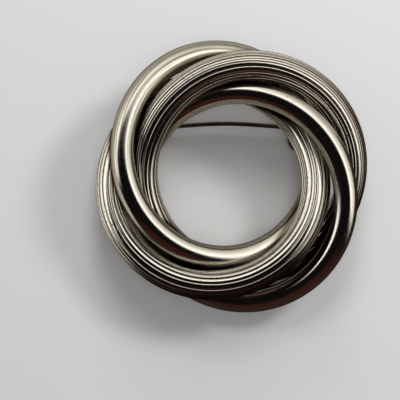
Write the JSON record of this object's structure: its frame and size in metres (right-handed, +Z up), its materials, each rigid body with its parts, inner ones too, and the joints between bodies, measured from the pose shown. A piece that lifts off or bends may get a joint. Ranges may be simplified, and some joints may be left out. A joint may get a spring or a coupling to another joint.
{
  "type": "wreath brooch",
  "caption": "Circle brooch of smooth and ribbed metal rings linked as a twisted wreath, with a hinged pin and a turning safety catch behind it.",
  "frame": {"origin": "on the surface that the brooch lies on, below the middle of its bounding box", "axes": "+Z up from that surface, +Y towards the edge where the pin is, +X towards the pin's hinge; the wreath lies face up and leans on its hinge and catch"},
  "size_m": [0.0382, 0.0378, 0.0156],
  "materials": {
    "polished": "bright silver-tone plate, polished",
    "ribbed": "bright silver-tone plate, darker in its grooves",
    "finding": "aged nickel plate",
    "pin": "drawn steel wire",
    "solder": "dull grey solder"
  },
  "bodies": {
    "wreath": {"smooth_ring_upper": "polished", "smooth_ring_lower": "polished", "ribbed_ring_right": "ribbed", "ribbed_ring_left": "ribbed", "ring_solder_1": "solder", "ring_solder_2": "solder", "ring_solder_3": "solder", "ring_solder_4": "solder", "hinge_solder": "solder", "catch_solder": "solder", "hinge_patch": "finding", "catch_patch": "finding", "hinge_bracket": "finding", "hinge_rivet": "pin", "catch_cradle": "finding"},
    "pin": {"pin_stem": "pin"},
    "sleeve": {"catch_sleeve": "finding"}
  },
  "joints": [
    {"name": "pin_hinge", "type": "hinge", "parent": "wreath", "child": "pin", "pos_m": [0.01104, 0.00807, 0.00108], "axis": [0, -0.9864, -0.1642], "range_deg": [0, 110]},
    {"name": "catch_turn", "type": "hinge", "parent": "wreath", "child": "sleeve", "pos_m": [-0.01176, 0.00807, 0.00108], "axis": [-1, 0, 0], "range_deg": [0, 140]}
  ]
}
